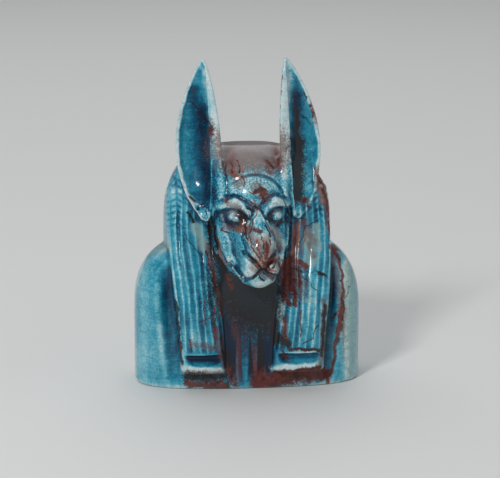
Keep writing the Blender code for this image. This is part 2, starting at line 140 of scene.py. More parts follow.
def ramp(values, low, high):
    share = np.clip((values - low) / (high - low), 0, 1)
    return share * share * (3 - 2 * share)


def ridge(values, width):
    # 1 on the line where values is 0, fading out on both sides
    return np.exp(-((values / width) ** 2))


def folded(points):
    # both sides of the bust laid on one
    copy = points.copy()
    copy[:, 0] = np.abs(copy[:, 0])
    return copy


def turned(points, angle):
    c, s = math.cos(angle), math.sin(angle)
    x, y = points[:, 0], points[:, 1]
    return np.stack([x * c + y * s, y * c - x * s, points[:, 2]], axis=1)


# Shoulders and arms

bodySizes = {
    "width": 46.2 * mm,
    "depth": 20.8 * mm,
    "setBack": 0.6 * mm,
    "shoulderTop": 30.8 * mm,
    "shoulderStart": 13.0 * mm,
    "squareness": 3.0,
    "footEdge": 0.9 * mm,
    "recessRadius": 3.0 * mm,
    "recessX": 15.9 * mm,
    "recessDepth": 2.0 * mm,
    "recessLow": (-0.5 * mm, 0, 3.5 * mm),  # its ends, from the line at recessX
    "recessHigh": (0.4 * mm, 2.5 * mm, 24 * mm),
    "recessFillet": 1.2 * mm,
    "neck": (spot(0, -1.0, 20), spot(0, -3.5, 34), 8.5 * mm, 7.5 * mm),
    "neckFillet": 2.5 * mm,
}
bodyCentre = np.array([0, bodySizes["setBack"], bodySizes["shoulderStart"]])
bodyRadii = np.array([
    bodySizes["width"] / 2,
    bodySizes["depth"] / 2,
    bodySizes["shoulderTop"] - bodySizes["shoulderStart"],
])
chestFront = bodySizes["depth"] / 2 - bodySizes["setBack"]


def bodyForm(points):
    form = dome(folded(points), bodyCentre, bodyRadii, bodySizes["squareness"])
    recessFront = chestFront + bodySizes["recessRadius"] - bodySizes["recessDepth"]
    line = np.array([bodySizes["recessX"], -recessFront, 0])
    low, high = line + bodySizes["recessLow"], line + bodySizes["recessHigh"]
    recess = limb(folded(points), low, high, bodySizes["recessRadius"], 0.8 * bodySizes["recessRadius"])
    form = cut(form, recess, bodySizes["recessFillet"])
    return join(form, limb(points, *bodySizes["neck"]), bodySizes["neckFillet"])


# Wig: a cap down the back and two lappets on the chest, striped with strands

wigSizes = {
    "width": 33.4 * mm,
    "depth": 18.0 * mm,
    "top": 48.4 * mm,
    "widest": 31.0 * mm,
    "backOffset": 3.0 * mm,
    "hem": 10.0 * mm,
    "squareness": 2.8,
    "strandSpacing": 1.28 * mm,
    "strandDepth": 0.27 * mm,
    "backStrands": 44,
    "strandRound": 0.8,
    "strandUneven": 0.3,
    # how far the strands drift aside, the length of a wave along them, and how it differs across
    "drifts": ((0.16 * mm, 3.1 * mm, 2.3), (0.12 * mm, 9 * mm, 5.1), (0.05 * mm, 0.9 * mm, 9)),
    "plainCrown": (9 * mm, 4 * mm),  # below the top, where the strands of the back fade out
}
lappetSizes = {
    "hem": 3.8 * mm,
    "leftWidth": 10.6 * mm,
    "rightWidth": 9.2 * mm,
    "spacing": 19.2 * mm,
    "spread": 2.1 * mm,
    "fallBack": 8.0 * mm,
    "bend": 15.0 * mm,
    "top": 40.0 * mm,
    "crown": 0.9 * mm,
    "proud": 2.2 * mm,
    "bandHeight": 2.5 * mm,
    "bandDepth": 0.95 * mm,
    "rim": 1.5 * mm,
    "bandSag": 1.3 * mm,
    "bandSide": 0.9 * mm,
}
wigCentre = np.array([0, wigSizes["backOffset"], wigSizes["widest"]])
wigRadii = np.array([wigSizes["width"] / 2, wigSizes["depth"] / 2, wigSizes["top"] - wigSizes["widest"]])


def lappetAside(x, z):
    half = np.where(x > 0, lappetSizes["leftWidth"], lappetSizes["rightWidth"]) / 2
    middle = lappetSizes["spacing"] / 2
    middle = middle + lappetSizes["spread"] * ramp(z, lappetSizes["hem"], earSizes["root"])
    return half, (np.abs(x) - middle) / half


def lappetFront(z):
    fallBack = lappetSizes["fallBack"] * ramp(z, lappetSizes["bend"], lappetSizes["top"])
    return chestFront + lappetSizes["proud"] - fallBack


def lappetForm(points):
    x, front, z = points[:, 0], -points[:, 1], points[:, 2]
    half, aside = lappetAside(x, z)
    crown = lappetSizes["crown"] * aside**2
    slab = keep((np.abs(aside) - 1) * half, front - lappetFront(z) + crown, 1.6 * mm)
    slab = keep(slab, lappetSizes["hem"] - z, 1.0 * mm)
    slab = keep(slab, z - lappetSizes["top"], 1.0 * mm)
    upright = points.copy()
    upright[:, 1] = wigCentre[1]
    slab = keep(slab, dome(upright, wigCentre, wigRadii, wigSizes["squareness"]), 0.6 * mm)
    return np.maximum(slab, -front)


def wigForm(points):
    cap = dome(points, wigCentre, wigRadii, wigSizes["squareness"])
    return keep(cap, wigSizes["hem"] - points[:, 2], 1.2 * mm)


def strandRelief(points):
    x, forward, z = points[:, 0], -points[:, 1], points[:, 2]
    half, aside = lappetAside(x, z)
    # drawn by hand, so the strands drift and differ in depth
    drift = sum(reach * np.sin(z / wave + turn * aside) for reach, wave, turn in wigSizes["drifts"])
    across = ((aside + 1) * half + drift) / wigSizes["strandSpacing"]
    flute = np.abs(np.sin(math.pi * across)) ** wigSizes["strandRound"]
    shallow = wigSizes["strandUneven"]
    flute = flute * (1 - shallow + shallow * np.sin(3.7 * np.floor(across) + z / (4.3 * mm)))
    bandTop = lappetSizes["hem"] + lappetSizes["rim"] + lappetSizes["bandHeight"]
    onLappet = ramp(forward, 1 * mm, 3 * mm) * (1 - ramp(np.abs(aside), 0.86, 0.96))
    onLappet = onLappet * ramp(z, bandTop, bandTop + lappetSizes["rim"])
    onLappet = onLappet * (1 - ramp(z, earSizes["root"], lappetSizes["top"]))
    angle = np.arctan2(x, points[:, 1] - wigCentre[1])
    backFlute = np.abs(np.sin(angle * wigSizes["backStrands"] / 2)) ** wigSizes["strandRound"]
    aboveHem = ramp(z, wigSizes["hem"] + lappetSizes["rim"], wigSizes["hem"] + 2 * lappetSizes["rim"])
    fadeLow, fadeHigh = wigSizes["plainCrown"]
    belowCrown = 1 - ramp(z, wigSizes["top"] - fadeLow, wigSizes["top"] - fadeHigh)
    onBack = (1 - ramp(forward, -1 * mm, 1 * mm)) * aboveHem * belowCrown
    onBack = onBack * (1 - ramp(wigForm(points), 0.4 * mm, 0.9 * mm))
    return wigSizes["strandDepth"] * np.maximum(flute * onLappet, backFlute * onBack)


# Short bumps down the strands beside the ears
braidSizes = {
    "middle": 14.4 * mm,
    "length": 1.2 * mm,
    "width": 1.3 * mm,
    "depth": 0.16 * mm,
    "slant": 0.4,
    "spread": 2.2 * mm,
    "low": (31 * mm, 33 * mm),  # where the braids fade in and out, upwards and then forwards
    "high": (41 * mm, 43 * mm),
    "behind": (-3.5 * mm, -2 * mm),
    "before": (4 * mm, 6 * mm),
}


def braidRelief(points):
    x, forward, z = points[:, 0], -points[:, 1], points[:, 2]
    aside = np.abs(x) - braidSizes["middle"]
    bump = np.abs(np.sin(math.pi * (z + braidSizes["slant"] * np.abs(aside)) / braidSizes["length"]))
    across = np.abs(np.sin(math.pi * aside / braidSizes["width"]))
    there = ramp(z, *braidSizes["low"]) * (1 - ramp(z, *braidSizes["high"]))
    there = there * ridge(aside, braidSizes["spread"])
    there = there * ramp(forward, *braidSizes["behind"]) * (1 - ramp(forward, *braidSizes["before"]))
    return braidSizes["depth"] * (1 - bump * across) * there


def bandRelief(points):
    x, forward, z = points[:, 0], -points[:, 1], points[:, 2]
    half, aside = lappetAside(x, z)
    low = lappetSizes["hem"] + lappetSizes["rim"] + lappetSizes["bandSag"] * aside**2
    tall = lappetSizes["bandHeight"] / 2 - lappetSizes["bandSag"] * aside**2 / 2
    beside = (np.abs(aside) - 1) * half + lappetSizes["bandSide"]
    # deepest under its straight upper edge, and shallow towards its ends
    scoop = (0.35 + 0.65 * ramp(z - low, 0, 2 * tall)) * (1 - ramp(beside, -1.5 * mm, 0.2 * mm))
    scoop = scoop * (1 - ramp(np.abs(z - low - tall) - tall, -0.45 * mm, 0.3 * mm))
    return lappetSizes["bandDepth"] * scoop * ramp(forward, 6 * mm, 8 * mm)


# Ears: cupped leaves, deepest beside the thick inner rim

earSizes = {
    "tip": 66.5 * mm,
    "root": 34.5 * mm,
    "width": 8.9 * mm,
    "spacing": 18.6 * mm,
    "tipsIn": (0.6 * mm, 1.4 * mm),  # right ear, left ear
    "bows": (5.2 * mm, 6.8 * mm),
    "twist": 1.5 * mm,
    "cupDepth": 3.4 * mm,
    "cupSpan": (-0.5, 0.9),
    "backBulge": 4.4 * mm,
    "rim": 1.1 * mm,
    "lean": 6.8 * mm,
    "leafCurve": (0.844, 0.75),
    "cupCurve": (1.75, 0.55, 0.65),
    "backCurve": 0.7,
    "edgeFillet": 0.7 * mm,
}


def earOutline(z, isLeft):
    share = np.clip((z - earSizes["root"]) / (earSizes["tip"] - earSizes["root"]), 1e-4, 1 - 1e-4)
    tipIn = np.where(isLeft, earSizes["tipsIn"][1], earSizes["tipsIn"][0])
    bow = np.where(isLeft, earSizes["bows"][1], earSizes["bows"][0])
    middle = earSizes["spacing"] / 2 - tipIn * share + bow * share * (1 - share)
    low, full = earSizes["leafCurve"]
    half = earSizes["width"] / 2 * np.sin(math.pi * share**low) ** full
    return middle, half, share


def earFaces(aside, half, share):
    fullness = half / (earSizes["width"] / 2)
    rim = earSizes["lean"] * (1 - share) - earSizes["twist"] * aside * fullness
    inner, outer = earSizes["cupSpan"]
    across = np.clip((aside - inner) / (outer - inner), 0, 1)
    steep, near, far = earSizes["cupCurve"]
    cup = steep * across**near * (1 - across) ** far
    bulge = np.clip(1 - aside**2, 0, 1) ** earSizes["backCurve"]
    front = rim + earSizes["rim"] / 2 - earSizes["cupDepth"] * fullness * cup
    back = rim - earSizes["rim"] / 2 - earSizes["backBulge"] * fullness * bulge
    return front, back


def earForm(points):
    p = folded(points)
    x, forward, z = p[:, 0], -p[:, 1], p[:, 2]
    middle, half, share = earOutline(z, points[:, 0] > 0)
    aside = (x - middle) / np.maximum(half, 0.2 * mm)
    front, back = earFaces(aside, half, share)
    form = keep((forward - front) * 0.6, (back - forward) * 0.6, 0.3 * mm)
    form = keep(form, np.abs(x - middle) - half, earSizes["edgeFillet"])
    form = keep(form, z - earSizes["tip"], 0.3 * mm)
    return np.maximum(form, earSizes["root"] - z)


# Head, in its own frame before it turns

headSizes = {
    "turn": math.radians(4.5),
    "skull": (spot(0, -3.0, 38.2), spot(7.2, 8.6, 7.6)),
    "crown": (spot(0, -0.5, 40.7), spot(9.5, 8.5, 7.6)),
    "muzzle": (spot(0, -8.2, 33.8), spot(0, -14.9, 28.8), 5.6 * mm, 3.9 * mm),
    "bridge": (spot(0, -10.6, 38.0), spot(0, -16.3, 31.8), 1.7 * mm, 2.3 * mm),
    "jaw": (spot(0, -6.0, 30.2), spot(0, -15.0, 25.8), 6.3 * mm, 3.1 * mm),
    "cheek": (spot(4.2, -7.0, 32.0), spot(2.9, 4.4, 5.4)),
    "orbit": (spot(4.2, -8.0, 36.3), spot(2.8, 2.6, 2.8)),
    "whiskerPad": (spot(1.9, -16.1, 27.3), spot(2.0, 3.0, 2.5)),
    "nosePad": (spot(0, -16.9, 29.8), spot(2.9, 2.6, 3.4)),
    "innerBrow": (spot(1.4, -12.0, 37.0), spot(4.0, -10.7, 38.9), 0.7 * mm, 0.9 * mm),
    "outerBrow": (spot(4.0, -10.7, 38.9), spot(6.6, -7.5, 38.0), 0.9 * mm, 0.8 * mm),
    "faceEdge": (
        spot(6.1, -6.6, 35.4), spot(5.7, -9.2, 30.9), spot(4.6, -11.1, 27.1), spot(2.4, -14.2, 24.6),
    ),
    "faceEdgeRadius": 1.0 * mm,
    "earRidge": (spot(6.6, -4.2, 46.0), spot(6.0, -7.9, 39.6), 1.0 * mm, 0.9 * mm),
    "earLobe": (spot(8.9, -5.4, 35.8), spot(1.7, 1.7, 1.3)),
    "kiteHeight": 0.55 * mm,
    # half the width of the long facet down the muzzle, at heights, in mm
    "kiteHeights": (27.0, 27.7, 33.0, 38.0, 38.5),
    "kiteWidths": (-0.5, 0.3, 3.0, 0.5, -0.5),
    "hairlineRadius": 6.3 * mm,
    "hairlineDepth": 0.35 * mm,
    "hairlineSquash": 1.08,
}
# How softly each form of the head runs into those before it
headFillets = {
    "crown": 1.5 * mm,
    "muzzle": 2.0 * mm,
    "cheek": 1.5 * mm,
    "jaw": 1.2 * mm,
    "orbit": 1.2 * mm,
    "faceEdge": 1.6 * mm,
    "whiskerPad": 0.7 * mm,
    "brow": 1.2 * mm,
    "bridge": 0.9 * mm,
    "nosePad": 0.7 * mm,
    "earRidge": 1.0 * mm,
    "earLobe": 0.8 * mm,
}
# Relief drawn on the front of the head: points as (x, z) in mm, then width and height in mm
faceRelief = {
    "lines": (
        (((1.3, 36.7), (2.3, 38.2), (4.0, 39.1), (6.7, 38.0)), 0.60, 0.34),  # brow
        (((0.5, 38.6), (2.2, 39.8), (4.2, 40.4), (6.4, 39.3)), 0.40, -0.22),  # furrow above it
        (((3.6, 31.6), (3.6, 29.8), (3.5, 27.6)), 0.45, -0.16),  # crease beside the muzzle
        (((3.0, 30.2), (1.9, 29.1), (0.4, 27.8)), 0.42, -0.62),  # nostril
        (((0.0, 27.3), (1.4, 26.1), (2.9, 24.7)), 0.42, -0.60),  # mouth
        (((2.9, 24.7), (4.1, 26.2), (4.9, 27.3)), 0.36, -0.50),  # its corner
        (((0.6, 38.2), (3.25, 33.0), (2.7, 30.8), (0.5, 27.6)), 0.30, -0.28),  # round the bridge of the nose
    ),
    "blobs": (
        # middle x and z, half width, half height, height
        (4.1, 35.8, 2.3, 1.8, -1.0),  # socket
        (5.0, 30.8, 1.3, 3.2, -0.2),  # cheek
        (2.0, 27.4, 1.5, 1.5, 0.2),  # whisker pad
    ),
    "eyeball": (4.2, 35.95, 1.3, 1.2, 1.2),
}


def headForm(points):
    p = folded(points)
    form = ball(points, *headSizes["skull"])
    later = {
        "crown": ball(points, *headSizes["crown"]),
        "muzzle": limb(points, *headSizes["muzzle"]),
        "cheek": ball(p, *headSizes["cheek"]),
        "jaw": limb(points, *headSizes["jaw"]),
        "orbit": ball(p, *headSizes["orbit"]),
        "faceEdge": chain(p, headSizes["faceEdge"], headSizes["faceEdgeRadius"]),
        "whiskerPad": ball(p, *headSizes["whiskerPad"]),
        "brow": np.minimum(limb(p, *headSizes["innerBrow"]), limb(p, *headSizes["outerBrow"])),
        "bridge": limb(points, *headSizes["bridge"]),
        "nosePad": ball(points, *headSizes["nosePad"]),
        "earRidge": limb(p, *headSizes["earRidge"]),
        "earLobe": ball(p, *headSizes["earLobe"]),
    }
    for name, other in later.items():
        form = join(form, other, headFillets[name])
    return form


def noseKite(points):
    x, forward, z = points[:, 0], -points[:, 1], points[:, 2]
    width = np.interp(z / mm, headSizes["kiteHeights"], headSizes["kiteWidths"]) * mm
    inside = ramp(width - np.abs(x), -0.12 * mm, 0.2 * mm)
    return headSizes["kiteHeight"] * inside * ramp(forward, 10 * mm, 12 * mm)


def hairline(points):
    x, forward, z = points[:, 0], -points[:, 1], points[:, 2]
    middle = headSizes["skull"][0][2]
    around = np.hypot(x, (z - middle) * headSizes["hairlineSquash"]) - headSizes["hairlineRadius"]
    groove = ridge(around, headSizes["hairlineDepth"]) * ramp(z, middle, middle + 3 * mm)
    groove = groove * (0.35 + 0.65 * ramp(x, -3 * mm, 0))
    return headSizes["hairlineDepth"] * groove * ramp(forward, 5 * mm, 7 * mm)


def lineGap(x, z, stops):
    # distance in millimetres from a run of points in the face's plane
    gaps = []
    for (x0, z0), (x1, z1) in zip(stops, stops[1:]):
        dx, dz = x1 - x0, z1 - z0
        along = np.clip(((x - x0) * dx + (z - z0) * dz) / (dx * dx + dz * dz), 0, 1)
        gaps.append(np.hypot(x - x0 - along * dx, z - z0 - along * dz))
    return np.minimum.reduce(gaps)


def drawnFace(points):
    x, forward, z = np.abs(points[:, 0]) / mm, -points[:, 1], points[:, 2] / mm
    height = np.zeros(len(x))
    for middleX, middleZ, halfX, halfZ, rise in faceRelief["blobs"]:
        height += rise * np.exp(-(((x - middleX) / halfX) ** 2) - ((z - middleZ) / halfZ) ** 2)
    for stops, width, rise in faceRelief["lines"]:
        height += rise * ridge(lineGap(x, z, stops), width)
    middleX, middleZ, halfX, halfZ, rise = faceRelief["eyeball"]
    height += rise * np.clip(1 - ((x - middleX) / halfX) ** 2 - ((z - middleZ) / halfZ) ** 2, 0, 1) ** 0.8
    return height * mm * ramp(forward, 4 * mm, 7 * mm)


def carvedHead(points):
    return headForm(points) - noseKite(points) + hairline(points) - drawnFace(points)


bustFillets = {"lappets": 2.4 * mm, "hair": 0.7 * mm, "ears": 1.2 * mm, "head": 0.9 * mm}


def bustForm(points, carved):
    # the whole bust as one field, plain or with all its carving
    local = turned(points, headSizes["turn"])
    hair = join(wigForm(points), lappetForm(points), bustFillets["lappets"])
    form = join(bodyForm(points), hair, bustFillets["hair"])
    form = join(form, earForm(local), bustFillets["ears"])
    form = join(form, carvedHead(local) if carved else headForm(local), bustFillets["head"])
    if carved:
        form = form + strandRelief(points) + bandRelief(points) + braidRelief(points)
    return keep(form, -points[:, 2], bodySizes["footEdge"])


# Blocking out with primitives, fusing them, and pulling the skin onto the form

skinSizes = {
    "firstVoxel": 0.7 * mm,
    "fineVoxel": 0.46 * mm,
    "pulls": 3,
    "hollows": (("hollowFine", 6), ("hollowBroad", 60)),
    "triangles": 190000,
}


def sphereShape():
    shape = bmesh.new()
    bmesh.ops.create_uvsphere(shape, u_segments=40, v_segments=28, radius=1)
    return shape


def asObject(name, shape):
    mesh = bpy.data.meshes.new(name)
    shape.to_mesh(mesh)
    shape.free()
    thing = bpy.data.objects.new(name, mesh)
    bpy.context.scene.collection.objects.link(thing)
    return thing


def ballBlock(name, centre, radii):
    shape = sphereShape()
    for vert in shape.verts:
        vert.co = Vector(centre + radii * np.array(vert.co))
    return asObject(name, shape)


def domeBlock(name, centre, radii, squareness, foot):
    # the lower half is pushed down flat to the height of its foot
    shape = sphereShape()
    for vert in shape.verts:
        lower = vert.co.z < -1e-3
        reach = sum(abs(c) ** squareness for c in vert.co) ** (1 / squareness)
        vert.co = Vector(centre + radii * np.array(vert.co) / reach)
        if lower:
            vert.co.z = foot
    return asObject(name, shape)


def limbBlock(name, start, end, startRadius, endRadius):
    # a ball parted at its equator, with a half at each end
    shape = sphereShape()
    facing = Vector(end - start).to_track_quat("Z", "Y")
    for vert in shape.verts:
        centre, radius = (end, endRadius) if vert.co.z > 0 else (start, startRadius)
        vert.co = Vector(centre) + facing @ vert.co * radius
    return asObject(name, shape)


def loftBlock(name, rings):
    shape = bmesh.new()
    loops = [[shape.verts.new(point) for point in ring] for ring in rings]
    for low, high in zip(loops, loops[1:]):
        for i in range(len(low)):
            j = (i + 1) % len(low)
            shape.faces.new((low[i], low[j], high[j], high[i]))
    shape.faces.new(loops[0])
    shape.faces.new(loops[-1])
    bmesh.ops.recalc_face_normals(shape, faces=shape.faces)
    return asObject(name, shape)


def earBlock(name, side):
    rings = []
    for share in np.linspace(0.01, 0.99, 60):
        z = earSizes["root"] + share * (earSizes["tip"] - earSizes["root"])
        middle, half, _ = earOutline(z, side > 0)
        asides = np.linspace(-0.97, 0.97, 15)
        fronts, backs = earFaces(asides, half, share)
        there = [(side * (middle + a * half), -f, z) for a, f in zip(asides, fronts)]
        backAgain = [(side * (middle + a * half), -b, z) for a, b in zip(asides, backs)]
        rings.append(there + backAgain[::-1])
    return loftBlock(name, rings)


def lappetBlock(name, side):
    rings = []
    for z in np.linspace(lappetSizes["hem"], lappetSizes["top"], 24):
        half, aside = lappetAside(side * 1.0, z)
        middle = 1.0 - aside * half
        front = lappetFront(z)
        corners = ((-0.8, front), (0.8, front), (1, front - mm), (1, 0), (-1, 0), (-1, front - mm))
        rings.append([(side * (middle + a * half), -f, z) for a, f in corners])
    return loftBlock(name, rings)


def blockOut():
    standing = [
        domeBlock("bodyBlock", bodyCentre, bodyRadii, bodySizes["squareness"], 0.0),
        domeBlock("wigBlock", wigCentre, wigRadii, wigSizes["squareness"], wigSizes["hem"]),
        limbBlock("neckBlock", *bodySizes["neck"]),
        lappetBlock("leftLappetBlock", 1),
        lappetBlock("rightLappetBlock", -1),
    ]
    turning = [earBlock("leftEarBlock", 1), earBlock("rightEarBlock", -1)]
    for name in ("skull", "crown", "nosePad"):
        turning.append(ballBlock(name + "Block", *headSizes[name]))
    for name in ("muzzle", "jaw", "bridge"):
        turning.append(limbBlock(name + "Block", *headSizes[name]))
    for name in ("cheek", "orbit", "whiskerPad", "earLobe"):
        centre, radii = headSizes[name]
        turning.append(ballBlock(name + "Left", centre, radii))
        turning.append(ballBlock(name + "Right", centre * np.array([-1, 1, 1]), radii))
    for block in turning:
        block.rotation_euler = Euler((0, 0, headSizes["turn"]))
    return standing + turning


def joined(blocks):
    bpy.context.view_layer.update()
    bpy.ops.object.select_all(action="DESELECT")
    for block in blocks:
        block.select_set(True)
    bpy.context.view_layer.objects.active = blocks[0]
    bpy.ops.object.join()
    return bpy.context.view_layer.objects.active


def bake(thing):
    graph = bpy.context.evaluated_depsgraph_get()
    evaluated = thing.evaluated_get(graph)
    mesh = bpy.data.meshes.new_from_object(evaluated, preserve_all_data_layers=True, depsgraph=graph)
    thing.modifiers.clear()
    thing.data = mesh


def reskin(thing, voxel):
    remesh = thing.modifiers.new("reskin", "REMESH")
    remesh.mode = "VOXEL"
    remesh.voxel_size = voxel
    divide = thing.modifiers.new("divide", "SUBSURF")
    divide.levels = divide.render_levels = 1
    bake(thing)


def pull(points, field):
    # one step along the field's slope onto its surface
    step = 0.02 * mm
    value = field(points)
    slope = np.empty_like(points)
    for axis in range(3):
        nudged = points.copy()
        nudged[:, axis] += step
        slope[:, axis] = (field(nudged) - value) / step
    steepness = np.maximum((slope * slope).sum(axis=1), 0.04)
    move = slope * (value / steepness)[:, None]
    move *= np.minimum(1, 0.8 * mm / np.maximum(size(move), 1e-9))[:, None]
    return points - move


def eased(points, edges):
    # each point halfway to the average of its neighbours
    total = np.zeros_like(points)
    count = np.bincount(edges.ravel(), minlength=len(points))
    for axis in range(3):
        total[:, axis] = np.bincount(edges[:, 0], points[edges[:, 1], axis], len(points))
        total[:, axis] += np.bincount(edges[:, 1], points[edges[:, 0], axis], len(points))
    return 0.5 * points + 0.5 * total / count[:, None]


def meshPoints(mesh):
    points = np.empty(len(mesh.vertices) * 3)
    mesh.vertices.foreach_get("co", points)
    return points.reshape(-1, 3)


def meshEdges(mesh):
    edges = np.empty(len(mesh.edges) * 2, dtype=np.int64)
    mesh.edges.foreach_get("vertices", edges)
    return edges.reshape(-1, 2)


def shapeSkin(mesh, carved):
    points, edges = meshPoints(mesh), meshEdges(mesh)
    for _ in range(skinSizes["pulls"]):
        points = eased(points, edges)
        points = pull(points, lambda p: bustForm(p, carved))
    points = pull(points, lambda p: bustForm(p, carved))
    points[:, 2] = np.where(points[:, 2] < 0.03 * mm, 0, points[:, 2])
    mesh.vertices.foreach_set("co", points.ravel())
    mesh.update()


def writeAttribute(mesh, name, values):
    mesh.attributes.new(name, "FLOAT", "POINT").data.foreach_set("value", values.astype(np.float32))


def readNormals(mesh):
    normals = np.empty(len(mesh.vertices) * 3)
    mesh.vertices.foreach_get("normal", normals)
    return normals.reshape(-1, 3)


def measureHollows(mesh):
    # how deep each point lies below its surroundings, near and further off
    points, edges, normals = meshPoints(mesh), meshEdges(mesh), readNormals(mesh)
    smooth = points
    for name, rounds in skinSizes["hollows"]:
        for _ in range(rounds):
            smooth = eased(smooth, edges)
        writeAttribute(mesh, name, ((smooth - points) * normals).sum(axis=1) / mm)


def makeBust():
    bust = joined(blockOut())
    bust.name = "bustSkin"
    for voxel, carved in ((skinSizes["firstVoxel"], False), (skinSizes["fineVoxel"], True)):
        reskin(bust, voxel)
        shapeSkin(bust.data, carved)
        print("skin at %.2f mm: %d points" % (voxel / mm, len(bust.data.vertices)))
    measureHollows(bust.data)
    thinner = bust.modifiers.new("thinOut", "DECIMATE")
    thinner.ratio = min(1, skinSizes["triangles"] / (2 * len(bust.data.polygons)))
    thinner.use_collapse_triangulate = True
    bake(bust)
    points = np.clip(meshPoints(bust.data), np.array(cadLow), np.array(cadHigh))
    bust.data.vertices.foreach_set("co", points.ravel())
    bust.data.update()
    bust.data.shade_smooth()
    print("bust made, %d triangles" % len(bust.data.polygons))
    return bust


# Where the glaze pooled, ran and wore, with painted shadow under the muzzle, beside the face and in the ear
# cups, and a painted grey sheen on the top of the wig. Strokes are (x, y, x, y, radius) in pixels of the
# photograph.

bodyMarks = {
    "haze": (
        (230, 150, 236, 176, 5), (274, 146, 280, 168, 4), (208, 246, 220, 300, 3),
        (284, 246, 300, 290, 9), (290, 214, 298, 250, 6), (262, 382, 324, 374, 7),
        (276, 60, 278, 140, 2), (313, 100, 317, 122, 3), (322, 176, 330, 230, 3),
        (334, 250, 344, 330, 4), (322, 352, 318, 372, 3), (216, 330, 226, 372, 3),
        (306, 200, 292, 214, 4), (211, 120, 213, 142, 3), (283, 318, 286, 340, 3),
        (226, 366, 236, 386, 4), (310, 244, 313, 256, 3), (232, 296, 236, 340, 3),
        (300, 214, 312, 240, 5), (324, 300, 322, 350, 3), (192, 344, 214, 348, 3),
        (188, 373, 222, 373, 2.2), (244, 330, 254, 346, 4.6), (238, 338, 240, 362, 2),
    ),
    # red-brown glaze under a painted grey sheen of the light from above: the top of the wig and the inner
    # side of the right ear
    "brownSheen": (
        (232, 150, 270, 150, 22), (230, 164, 240, 170, 10), (275, 150, 281, 76, 1.5),
        (318, 172, 324, 200, 5),
    ),
    "mint": (
        (350, 266, 352, 372, 6), (309, 234, 312, 262, 6), (196, 226, 205, 248, 5),
        (347, 252, 354, 262, 5), (148, 250, 162, 248, 5), (306, 300, 312, 300, 2),
        (344, 290, 346, 372, 3), (316, 226, 319, 250, 3),
    ),
    # painted shadow: on the chest under the muzzle, below the lappets, in the right ear's cup, along the
    # lappets' inner edges and in the gaps beside the face
    "sootAndShade": (
        (232, 290, 262, 290, 26), (240, 304, 262, 312, 22), (228, 352, 231, 372, 2.4),
        (259, 342, 262, 366, 3), (216, 244, 228, 282, 8), (209, 224, 214, 240, 5),
        (297, 112, 297, 140, 2.4), (298, 142, 296, 202, 7.5), (188, 376, 228, 380, 5.5),
        (292, 349, 320, 350, 1.6), (273, 300, 275, 340, 4.5), (276, 335, 287, 344, 4.5),
        (176, 300, 182, 364, 1.6), (325, 306, 322, 356, 2.2), (292, 219, 307, 207, 3.6),
        (318, 272, 325, 276, 2), (282, 373, 320, 368, 2.4), (252, 354, 264, 374, 5.5),
        (222, 336, 225, 366, 1.8), (289, 214, 289, 250, 2), (188, 212, 193, 222, 1.5),
        (264, 300, 266, 330, 4),
    ),
    "rust": (
        (286, 260, 289, 288, 8), (294, 258, 305, 266, 4), (284, 296, 290, 304, 3),
        (294, 286, 296, 306, 2.2), (254, 385, 326, 374, 5.6), (262, 376, 320, 371, 3.8),
        (186, 384, 226, 387, 3.4), (229, 370, 236, 388, 1.6), (332, 249, 338, 257, 2.0),
        (338, 257, 342, 273, 1.7), (342, 273, 343, 291, 1.5), (343, 291, 342, 306, 1.7),
        (342, 306, 339, 330, 3.0), (339, 330, 335, 346, 2.6), (335, 346, 334, 362, 1.8),
        (334, 362, 327, 385, 2.0), (333, 318, 337, 312, 1.4), (330, 246, 338, 249, 2.6),
        (318, 176, 325, 194, 1.9), (325, 194, 329, 212, 1.7), (329, 212, 330, 234, 1.2),
        (292, 210, 306, 199, 1.8), (210, 127, 212, 139, 1.5), (311, 105, 313, 116, 1.7),
        (275, 147, 279, 168, 1.6), (206, 252, 213, 276, 1.0), (213, 276, 220, 300, 1.0),
        (220, 300, 221, 316, 1.3), (352, 331, 350, 335, 1.3), (189, 197, 194, 201, 1.2),
        (180, 344, 180, 352, 1.0), (284, 318, 286, 338, 1.4), (298, 268, 300, 286, 1.6),
        (226, 276, 232, 288, 2.0), (290, 350, 318, 350, 0.9), (204, 300, 205, 326, 0.7),
        (214, 306, 215, 348, 0.8), (300, 300, 301, 336, 0.7), (190, 336, 191, 352, 0.7),
        (283, 352, 288, 360, 1.4),
    ),
    "orange": (
        (292, 222, 293, 254, 1.5), (299, 218, 298, 246, 1.4), (272, 380, 320, 372, 1.8),
        (305, 234, 304, 246, 1.0), (262, 384, 300, 378, 0.8), (234, 163, 236, 172, 1.8),
        (229, 371, 234, 382, 0.8), (331, 247, 335, 251, 1.4),
    ),
    # thin glaze worn off the rims, and a painted highlight along the inner rims of the ears
    "wornAndHighlit": (
        (208, 82, 221, 158, 4.2), (221, 158, 226, 190, 5), (286, 76, 282, 172, 5),
        (282, 172, 287, 192, 5), (201, 68, 204, 74, 2), (287, 64, 290, 78, 4),
        (280, 298, 282, 324, 2.2), (184, 371, 222, 371, 2.6), (272, 369, 316, 366, 2.8),
        (286, 80, 284, 172, 3), (188, 196, 200, 208, 2.2),
    ),
}
